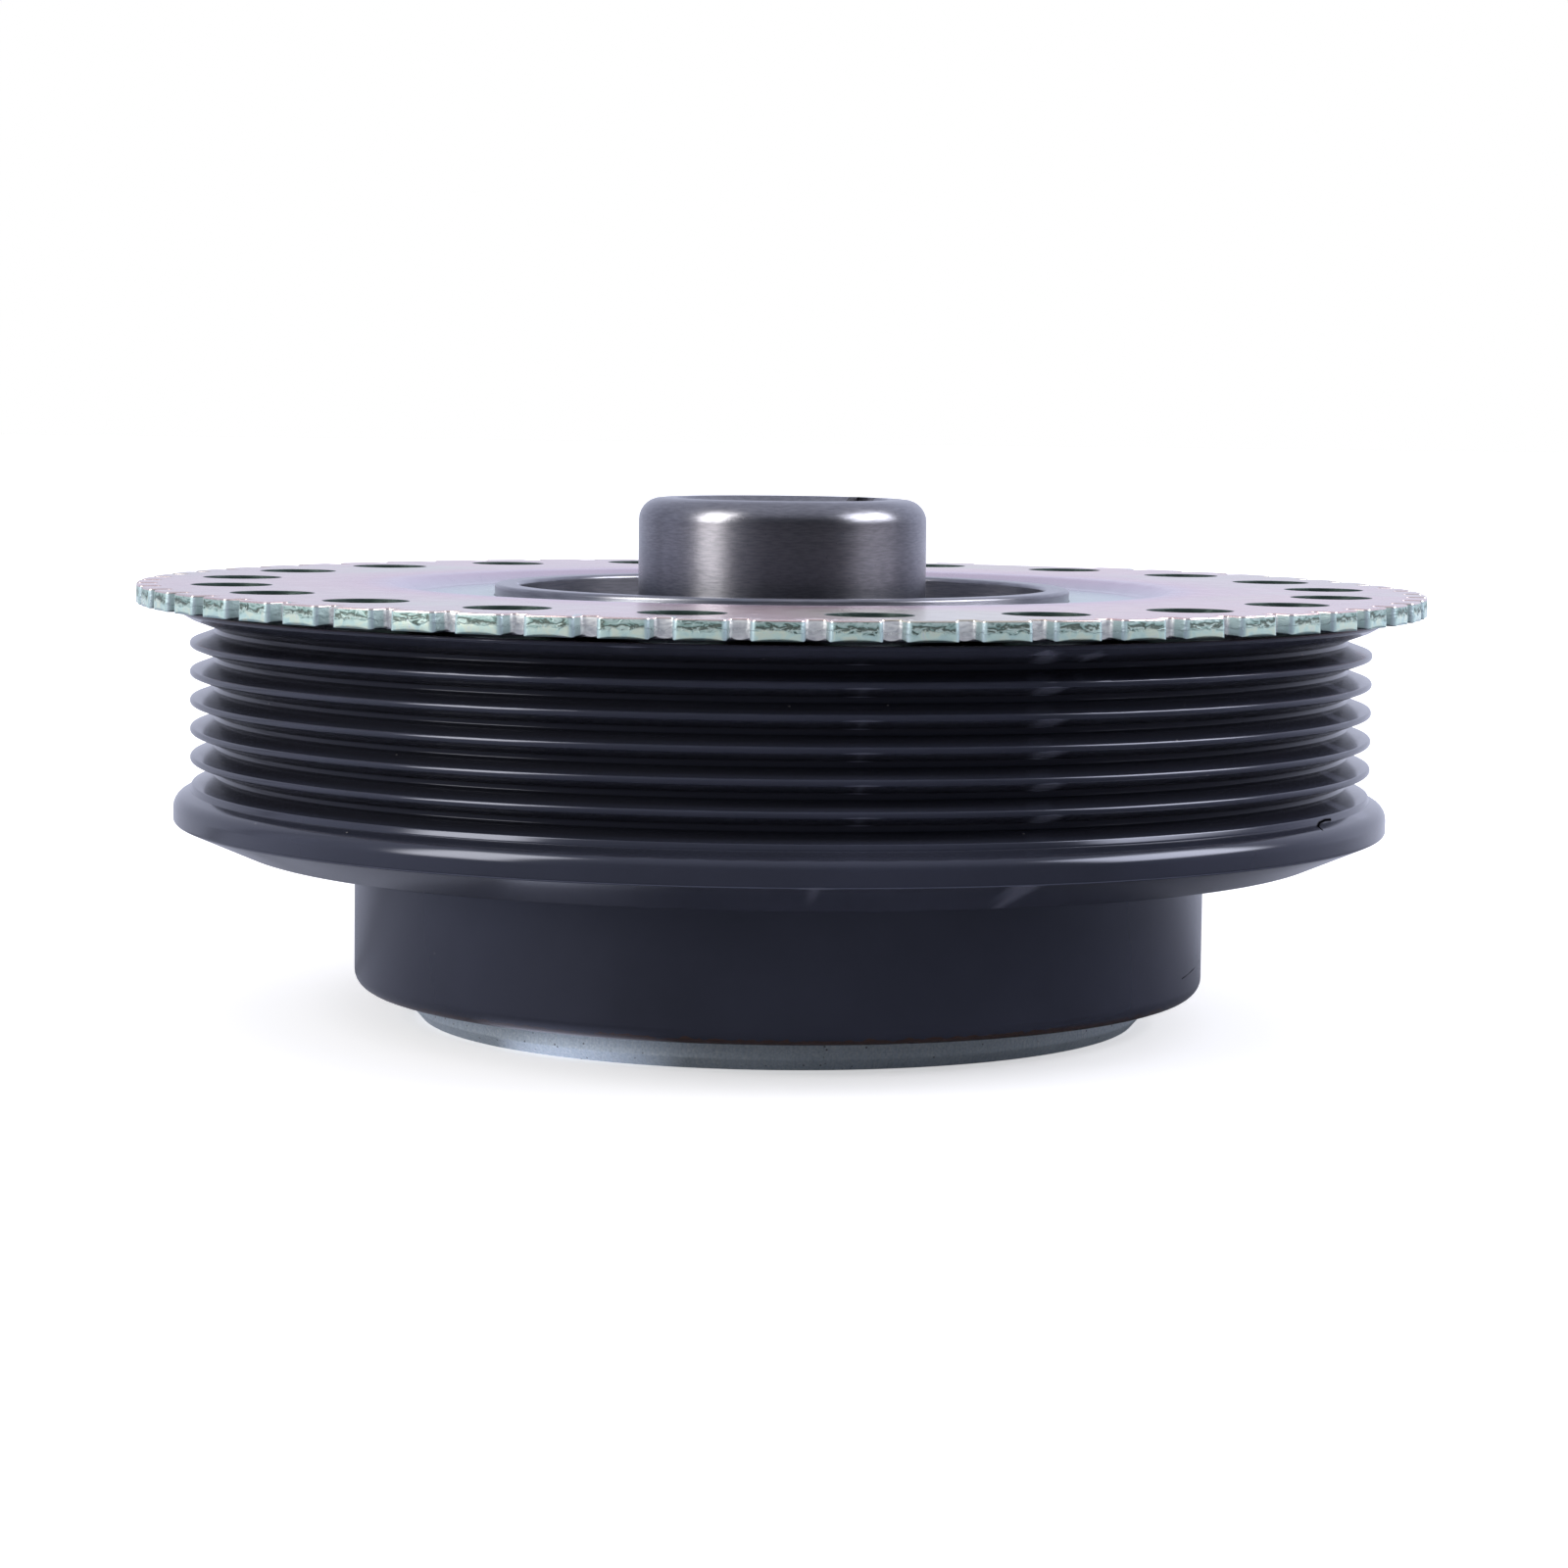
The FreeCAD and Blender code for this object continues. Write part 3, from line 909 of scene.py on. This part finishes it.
def black_coat():
    material, tree, shader = new_material("black_electrophoretic_coat")
    place, direction, radius, height = lathe_coordinates(tree)
    marks = tool_marks(tree, 0.4, 4.0)
    peel = add(tree, "TexNoise", {"Vector": place, "Scale": per_mm(1.1), "Detail": 2.0})
    cloud = add(tree, "TexNoise", {"Vector": place, "Scale": per_mm(22), "Detail": 3.0})
    ragged = add(tree, "TexNoise", {"Vector": place, "Scale": per_mm(1.6), "Detail": 4.0})
    specks = add(tree, "TexVoronoi", {"Vector": place, "Scale": per_mm(5.5)}, output="Distance")
    track_tone = add(tree, "ValToRGB", {0: cloud}, stops=[(0.3, "#262831"), (0.7, "#2c2e39")])
    skirt_tone = add(tree, "ValToRGB", {0: cloud}, stops=[(0.3, "#292b35"), (0.7, "#30323e")])
    # Painted shade: down in the grooves the coat gets a darker tone and less specular.
    below_crowns = beyond(tree, radius, crown_radius - 0.5, crown_radius - 1.2)
    on_track = beyond(tree, height, front_edge, front_edge + 1)
    groove_painted_shade = add(tree, "Math", {0: below_crowns, 1: on_track}, operation="MULTIPLY")
    # Painted highlight: a thin pale line where the front flange's outer face meets the cone.
    from_edge = add(tree, "Math", {0: height, 1: (cone_top + 0.05) * MM}, operation="SUBTRACT")
    apart = add(tree, "Math", {0: from_edge}, operation="ABSOLUTE")
    inputs = {"Value": apart, "From Min": EDGE_HIGHLIGHT_WIDTH * MM, "From Max": EDGE_HIGHLIGHT_WIDTH * MM / 3, "To Max": 0.45}
    painted_edge_highlight = add(tree, "MapRange", inputs)
    dust = add(tree, "ValToRGB", {0: specks}, stops=[(0.012, 0.55), (0.028, 0.0)])
    torn = add(tree, "Math", {0: ragged, 1: -FRAY_DEPTH * MM, 2: height}, operation="MULTIPLY_ADD")
    frayed = beyond(tree, torn, FRAYED_UP_TO, FRAYED_UP_TO - 0.07)
    scratch = line_mask(tree, SCRATCH, 0.16)
    hook = line_mask(tree, HOOK, 0.42)
    # The groove tone #1f2027 is painted shade.
    layers = [(beyond(tree, height, cone_bottom, cone_top), track_tone), (groove_painted_shade, "#1f2027")]
    layers += [(painted_edge_highlight, "#5d6172"), (edge_wear(tree, 0.53, 0.62), "#4a4c58"), (dust, "#9a9690")]
    layers += [(frayed, "#3a2c28"), (line_mask(tree, CHIP, 0.5), "#1b1513"), (scratch, "#07070a")]
    layers += [(hook, "#050507"), (line_mask(tree, FLECK, 0.3), "#a9a7a2")]
    # Lower specular in the grooves is painted shade too.
    shine = add(tree, "MapRange", {"Value": groove_painted_shade, "To Min": 0.5, "To Max": 0.2})
    scraped = add(tree, "Math", {0: scratch, 1: hook}, operation="MAXIMUM")
    whole = add(tree, "Math", {0: 1.0, 1: scraped}, operation="SUBTRACT")
    glossy = beyond(tree, height, GLOSSY_FROM, GLOSSY_AT)
    gloss = add(tree, "MapRange", {"Value": glossy, "To Min": 0.2, "To Max": 0.11})
    relief = add(tree, "Math", {0: peel, 1: 0.7, 2: marks}, operation="MULTIPLY_ADD")
    plug(shader, {
        "Base Color": layered(tree, skirt_tone, layers),
        "Roughness": add(tree, "Math", {0: cloud, 1: 0.08, 2: gloss}, operation="MULTIPLY_ADD"),
        "IOR": 1.66,
        "Specular IOR Level": add(tree, "Math", {0: shine, 1: whole}, operation="MULTIPLY"),
        "Specular Tint": "#dde2f6",
        "Normal": add(tree, "Bump", {"Height": relief, "Strength": 0.04, "Distance": 0.015 * MM}),
    })
    return material


ring_finish = black_coat()
print(ring_finish.name, "has", len(ring_finish.node_tree.nodes), "nodes")

# %% [markdown]
# ## Rubber
#
# Moulded and trimmed rubber is matt and nearly black, with a grey bloom in broad patches and a fine grain.
# Two noises of different size are enough for it: one for the bloom's tone, one for grain and roughness.

# %% Material: rubber
def moulded_rubber():
    material, tree, shader = new_material("moulded_rubber")
    place = add(tree, "TexCoord", output="Object")
    bloom = add(tree, "TexNoise", {"Vector": place, "Scale": per_mm(6), "Detail": 4.0})
    grain = add(tree, "TexNoise", {"Vector": place, "Scale": per_mm(0.5), "Detail": 3.0})
    plug(shader, {
        "Base Color": add(tree, "ValToRGB", {0: bloom}, stops=[(0.35, "#1a1a1b"), (0.7, "#2a2a2b")]),
        "Roughness": add(tree, "MapRange", {"Value": grain, "To Min": 0.7, "To Max": 0.9}),
        "Normal": add(tree, "Bump", {"Height": grain, "Strength": 0.5, "Distance": 0.06 * MM}),
    })
    return material


rubber_finish = moulded_rubber()
print(rubber_finish.name, "has", len(rubber_finish.node_tree.nodes), "nodes")

# %% [markdown]
# ## Chromated zinc plate
#
# Zinc plate dipped in chromate carries a film thin enough to show interference colours: pink and lavender,
# with green and blue where it is thicker, as near the step and in drained patches. The colours follow where
# the bath ran, not where the eye is, so rings round the collar and broad noise farther out place them, in
# Object coordinates.

# %% Material: chromated plate
RINGS_INSIDE = 36
FIELD_FROM = 52
FIELD_AT = 62


def chromated_plate():
    material, tree, shader = new_material("chromated_zinc_plate")
    place, direction, radius, height = lathe_coordinates(tree)
    inputs = {"Vector": place, "Scale": per_mm(60), "Detail": 2.0, "Distortion": 0.6}
    drift = add(tree, "TexNoise", inputs)
    fine = add(tree, "TexNoise", {"Vector": place, "Scale": per_mm(3.0), "Detail": 4.0})
    field_hues = [(0.32, "#dad6c9"), (0.45, "#e2cdca"), (0.56, "#e6cbc8")]
    field_hues += [(0.66, "#ddd6c4"), (0.78, "#d8d3cb")]
    field = add(tree, "ValToRGB", {0: drift}, stops=field_hues)
    ring_hues = [(0.05, "#c5d6cf"), (0.33, "#c4cfd3"), (0.48, "#cfc2d0")]
    ring_hues += [(0.66, "#debfc6"), (1.0, "#e0cbca")]
    rings = add(tree, "ValToRGB", {0: beyond(tree, radius, RINGS_INSIDE, FIELD_AT)}, stops=ring_hues)
    mottle = add(tree, "ValToRGB", {0: fine}, stops=[(0.4, 0.0), (0.8, 0.22)])
    # Pale on convex edges out at the teeth: worn film, and a painted highlight along the teeth's rounded top
    # edges.
    outside = beyond(tree, radius, FIELD_AT - 2, FIELD_AT)
    wear = add(tree, "Math", {0: outside, 1: edge_wear(tree, 0.53, 0.62)}, operation="MULTIPLY")
    layers = [(beyond(tree, radius, FIELD_FROM, FIELD_AT), field), (mottle, "#bcb6c6"), (wear, "#ccd8d6")]
    plug(shader, {
        "Base Color": layered(tree, rings, layers),
        "Metallic": 0.8,
        "Roughness": add(tree, "MapRange", {"Value": fine, "To Min": 0.18, "To Max": 0.32}),
        "Normal": add(tree, "Bump", {"Height": fine, "Strength": 0.15, "Distance": 0.03 * MM}),
    })
    return material


plate_finish = chromated_plate()
print(plate_finish.name, "has", len(plate_finish.node_tree.nodes), "nodes")

# %% [markdown]
# ## Sheared and plated edges
#
# A punched wall has two zones under the plating: a smooth burnished band where the punch slid, and a torn,
# darker fracture beyond it, with a wavy line between them. The film looks mint and teal there. The flanks of
# the teeth get a painted shading, bluer and plainer and changing with the way each flank faces, and the
# floors of the notches drained differently and look beige. The walls of the holes have the same finish under
# a deep painted shade, since little light reaches them.

# %% Material: sheared edge
BURNISH_BAND = 0.15
BURNISH_WAVE = 1.7
FRACTURE_WAVE = 2.6
FRACTURE_HUES = [
    (0.0, "#cfd8c4"), (0.2, "#a6c3ba"), (0.3, "#bfd0c9"), (0.36, "#50625b"), (0.45, "#37463f"),
    (0.49, "#8aa7a1"), (0.57, "#b9ccc7"), (0.62, "#67756d"), (0.68, "#49544e"), (0.72, "#7c9a94"),
    (0.82, "#b2c6c3"), (0.92, "#5f7a75"),
]


def sheared_edge(name, painted_shade):
    material, tree, shader = new_material(name)
    place, direction, radius, height = lathe_coordinates(tree)
    flat = add(tree, "Mapping", {"Vector": place, "Scale": (1.0, 1.0, 2.2)})
    inputs = {"Vector": place, "Scale": per_mm(1.5), "Detail": 4.0, "Distortion": 0.8}
    wave = add(tree, "TexNoise", inputs)
    inputs = {"Vector": flat, "Scale": per_mm(1.7), "Detail": 6.0, "Distortion": 1.6}
    torn = add(tree, "TexNoise", inputs)
    border = add(tree, "Math", {0: wave, 1: -BURNISH_WAVE * MM, 2: height}, operation="MULTIPLY_ADD")
    burnish_top = plate_bottom + BURNISH_BAND
    torn_zone = beyond(tree, border, burnish_top, burnish_top + 0.2)
    burnish_hues = [(0.35, "#b4d0ce"), (0.5, "#c2dbd3"), (0.62, "#d0dccb"), (0.75, "#bfd2dc")]
    burnish = add(tree, "ValToRGB", {0: wave}, stops=burnish_hues)
    risen = add(tree, "Math", {0: torn, 1: FRACTURE_WAVE * MM, 2: height}, operation="MULTIPLY_ADD")
    strata = beyond(tree, risen, plate_bottom + 0.35, plate_top + 1.75)
    fracture = add(tree, "ValToRGB", {0: strata}, stops=FRACTURE_HUES)

    # Painted shading: the flanks get a bluer, plainer colour that changes with how far each face turns from
    # the radius.
    normal = add(tree, "NewGeometry", output="Normal")
    tilt = add(tree, "SeparateXYZ", {0: normal}, output="Z")
    sideways = add(tree, "VectorMath", {0: normal, 1: (1.0, 1.0, 0.0)}, operation="MULTIPLY")
    aside = add(tree, "VectorMath", {0: sideways}, operation="NORMALIZE")
    inputs = {0: aside, 1: direction}
    facing = add(tree, "VectorMath", inputs, output="Value", operation="DOT_PRODUCT")
    flank_painted_shading_mask = add(tree, "MapRange", {"Value": facing, "From Min": 0.995, "From Max": 0.93})
    flank_painted_shading_hues = [(0.15, "#9db1b1"), (0.6, "#abbcc4"), (0.93, "#b9d2d3")]
    flank_painted_shading = add(tree, "ValToRGB", {0: facing}, stops=flank_painted_shading_hues)
    rolled = add(tree, "MapRange", {"Value": tilt, "From Min": -0.12, "From Max": -0.45})
    on_floor = beyond(tree, radius, root_radius + 0.7, root_radius + 0.2)
    beige = add(tree, "ValToRGB", {0: torn}, stops=[(0.35, "#cdced2"), (0.6, "#f0f0f0")])
    plated = layered(tree, burnish, [(torn_zone, fracture), (flank_painted_shading_mask, flank_painted_shading), (on_floor, beige)])
    # Multiplies in the painted shade, which darkens the hole walls.
    inputs = {0: 1.0, 6: plated, 7: painted_shade}
    shaded = add(tree, "Mix", inputs, output=2, data_type="RGBA", blend_type="MULTIPLY")
    relief = add(tree, "Math", {0: torn, 1: torn_zone}, operation="MULTIPLY")
    plug(shader, {
        "Base Color": layered(tree, shaded, [(edge_wear(tree, 0.56, 0.8), "#c9d6d8")]),
        "Metallic": add(tree, "MapRange", {"Value": rolled, "To Min": 0.4}),
        "Roughness": add(tree, "MapRange", {"Value": torn_zone, "To Min": 0.25, "To Max": 0.45}),
        "Normal": add(tree, "Bump", {"Height": relief, "Strength": 0.9, "Distance": 0.12 * MM}),
    })
    return material


tooth_finish = sheared_edge("sheared_plated_tooth_edge", "#ffffff")
# The hole walls take a dark painted shade.
hole_finish = sheared_edge("sheared_plated_hole_wall", "#40554f")
print(tooth_finish.name, "has", len(tooth_finish.node_tree.nodes), "nodes")

# %% [markdown]
# ## Finishes on the pieces
#
# Each piece takes its finish whole, apart from two. The hub's barrel end is ground where the rest is turned,
# so its faces outside the rim's inner edge and below the rubber get the ground finish. The plate's faces
# already know from their making whether they are sheet, tooth wall or hole wall, so its three finishes go on
# in that order.

# %% Put the finishes on the pieces
hub.data.materials.clear()
hub.data.materials.append(hub_finish)
hub.data.materials.append(rim_finish)
for face in hub.data.polygons:
    outer_rim = math.hypot(face.center.x, face.center.y) > (rim_inside + 0.3) * MM
    face.material_index = int(outer_rim and face.center.z < rubber_bottom * MM)
ring.data.materials.append(ring_finish)
rubber.data.materials.append(rubber_finish)
for finish in (plate_finish, tooth_finish, hole_finish):
    plate.data.materials.append(finish)
print("materials:", sorted(material.name for material in bpy.data.materials))

# %% [markdown]
# ## The room that the metal sees
#
# Metal shows what is around it, so the surroundings matter as much as the lamps. The room is white behind
# and beside the pulley and dark towards the camera, as a studio is, and only glossy rays see that
# difference. The journal is a mirror for it, so its stripes gave the level of the room at each angle round
# the pulley.

# %% Give the room its levels round the pulley
ROOM_LEVELS = [
    (-180, 0.97), (-140, 0.76), (-122, 0.72), (-116, 0.36), (-110, 0.7), (-80, 0.55), (-50, 0.34),
    (-15, 0.1), (35, 0.05), (62, 0.08), (88, 0.28), (112, 0.5), (132, 0.92), (150, 1.0), (180, 0.97),
]


def seen_in_metal(tree, direction):
    """What a shiny surface sees in a direction: white behind, grey beside, nearly black at the camera."""
    across = add(tree, "SeparateXYZ", {0: direction}, output="X")
    back = add(tree, "SeparateXYZ", {0: direction}, output="Y")
    front = add(tree, "Math", {0: back, 1: -1.0}, operation="MULTIPLY")
    azimuth = add(tree, "Math", {0: across, 1: front}, operation="ARCTAN2")
    share = add(tree, "MapRange", {"Value": azimuth, "From Min": -math.pi, "From Max": math.pi})
    levels = [(0.5 + angle / 360, level) for angle, level in ROOM_LEVELS]
    grey = add(tree, "ValToRGB", {0: share}, stops=levels)
    inputs = {0: 1.0, 6: grey, 7: "#e3e8ff"}
    return add(tree, "Mix", inputs, output=2, data_type="RGBA", blend_type="MULTIPLY")


print("the room has", len(ROOM_LEVELS), "levels")

# %% [markdown]
# ## The bench
#
# The pulley stands on a pale bench. To the camera the bench glows a little near the pulley and fully farther
# out, so that it runs into the white background and still keeps the pulley's soft shadow. Glossy rays see it
# as paper with the room's levels, with a painted shadow that darkens it close to the pulley, and with one
# painted pool of light at its foot towards the front left, which makes the glint along the silver rim. From
# below it is clear, so that the underside can be looked at.

# %% Lay the bench
BENCH_SIZE = 6.0
PAINTED_POOL_AZIMUTH = math.radians(-31)
PAINTED_POOL_LEVEL = 4.2

floor_mesh = bpy.data.meshes.new("bench")
bm = bmesh.new()
bmesh.ops.create_grid(bm, x_segments=1, y_segments=1, size=BENCH_SIZE)
bm.to_mesh(floor_mesh)
bm.free()
floor = bpy.data.objects.new("bench", floor_mesh)
bpy.context.scene.collection.objects.link(floor)
material, tree, shader = new_material("white_bench")
plug(shader, {"Base Color": "#ececee", "Roughness": 0.9})
place = add(tree, "TexCoord", output="Object")
camera_ray = add(tree, "LightPath", output="Is Camera Ray")
glossy_ray = add(tree, "LightPath", output="Is Glossy Ray")
away = add(tree, "VectorMath", {0: place}, output="Value", operation="LENGTH")
# Painted shadow: the paper seen in reflections is darker close to the pulley.
paper_painted_shadow = add(tree, "MapRange", {"Value": away, "From Min": 0.09, "From Max": 0.22, "To Min": 0.68})
direction = add(tree, "VectorMath", {0: place}, operation="NORMALIZE")
lit_side = (math.sin(PAINTED_POOL_AZIMUTH), -math.cos(PAINTED_POOL_AZIMUTH), 0.0)
inputs = {0: direction, 1: lit_side}
beside = add(tree, "VectorMath", inputs, output="Value", operation="DOT_PRODUCT")
# Painted pool of light at the rim's foot, seen only in reflections, which makes the rim's glint.
lobe = add(tree, "MapRange", {"Value": beside, "From Min": 0.955, "From Max": 1.0})
inputs = {"Value": away, "From Min": 0.062, "From Max": 0.05, "To Max": PAINTED_POOL_LEVEL}
foot = add(tree, "MapRange", inputs)
painted_pool_and_shadow = add(tree, "Math", {0: lobe, 1: foot, 2: paper_painted_shadow}, operation="MULTIPLY_ADD")
paper = add(tree, "Emission", {"Color": seen_in_metal(tree, place), "Strength": painted_pool_and_shadow})
bench = add(tree, "MixShader", {0: glossy_ray, 1: shader.outputs[0], 2: paper})
inputs = {"Value": away, "From Min": 0.12, "From Max": 0.3, "To Min": 0.5, "To Max": 1.0}
glow = add(tree, "Emission", {"Color": (1, 1, 1, 1), "Strength": add(tree, "MapRange", inputs)})
lit = add(tree, "AddShader", {0: bench, 1: glow})
pick = add(tree, "MixShader", {0: camera_ray, 1: bench, 2: lit})
below = add(tree, "NewGeometry", output="Backfacing")
total = add(tree, "MixShader", {0: below, 1: pick, 2: add(tree, "BsdfTransparent")})
plug(tree.nodes["Material Output"], {"Surface": total})
floor_mesh.materials.append(material)
print("bench laid,", 2 * BENCH_SIZE, "m wide")

# %% [markdown]
# ## The walls and the ceiling
#
# The world stands for them. Light Path tells three kinds of ray apart: the camera sees plain white, glossy
# rays see the room's levels under a grey ceiling, and all other light comes evenly from one cool grey.

# %% Surround it with a room
world = bpy.data.worlds.new("room")
bpy.context.scene.world = world
world.use_nodes = True
tree = world.node_tree
direction = add(tree, "TexCoord", output="Generated")
rise = add(tree, "SeparateXYZ", {0: direction}, output="Z")
ceiling = add(tree, "MapRange", {"Value": rise, "From Min": 0.4, "From Max": 0.95})
diffuse_ray = add(tree, "LightPath", output="Is Diffuse Ray")
camera_ray = add(tree, "LightPath", output="Is Camera Ray")
layers = [(ceiling, "#cdd0de"), (diffuse_ray, "#b9bccb"), (camera_ray, "#ffffff")]
seen = layered(tree, seen_in_metal(tree, direction), layers)
plug(tree.nodes["Background"], {"Color": seen, "Strength": 1.0})
print("room is white behind and dark towards the camera")

# %% [markdown]
# ## Two soft boxes
#
# The glints on the journal and along the ribs come from two soft boxes, one at the front left and one at the
# right. A bare area lamp would show sharp corners in the polished journal, so each lamp fades towards its
# edges. The Parametric output runs from 0 to 1 across the lamp, and its product with one minus itself is a
# dome.

# %% Hang two soft boxes
FADE = 0.17
TARGET_HEIGHT = 0.045


def soft_box(name, azimuth, elevation, distance, width, height, power, tint):
    """Lamp aimed at the pulley and fading at its edges. Azimuth 0 is the camera's side, + is the right."""
    data = bpy.data.lights.new(name, "AREA")
    data.shape = "RECTANGLE"
    data.size = width
    data.size_y = height
    data.energy = power
    data.color = linear(tint)[:3]
    data.use_nodes = True
    tree = data.node_tree
    spot = add(tree, "NewGeometry", output="Parametric")
    rest = add(tree, "VectorMath", {0: (1.0, 1.0, 1.0), 1: spot}, operation="SUBTRACT")
    dome = add(tree, "VectorMath", {0: spot, 1: rest}, operation="MULTIPLY")
    fades = []
    for axis in "XY":
        share = add(tree, "SeparateXYZ", {0: dome}, output=axis)
        fades.append(add(tree, "MapRange", {"Value": share, "From Max": FADE}))
    soft = add(tree, "Math", {0: fades[0], 1: fades[1]}, operation="MULTIPLY")
    plug(tree.nodes["Emission"], {"Strength": soft})
    lamp = bpy.data.objects.new(name, data)
    bpy.context.scene.collection.objects.link(lamp)
    turn, lift = math.radians(azimuth), math.radians(elevation)
    away = Vector((math.sin(turn) * math.cos(lift), -math.cos(turn) * math.cos(lift), math.sin(lift)))
    lamp.location = Vector((0, 0, TARGET_HEIGHT)) + away * distance
    lamp.rotation_euler = away.to_track_quat("Z", "Y").to_euler()
    return lamp


soft_box("left_soft_box", -59, 27, 0.62, 0.3, 0.56, 4.1, "#fffcf5")
soft_box("right_soft_box", 81, 31, 0.62, 0.5, 0.36, 4.3, "#fafaff")

# %% [markdown]
# ## Picture settings
#
# The Standard view transform shows colours as they are written.

# %% Picture settings
view = bpy.context.scene.view_settings
view.view_transform = "Standard"
print("view transform:", view.view_transform)
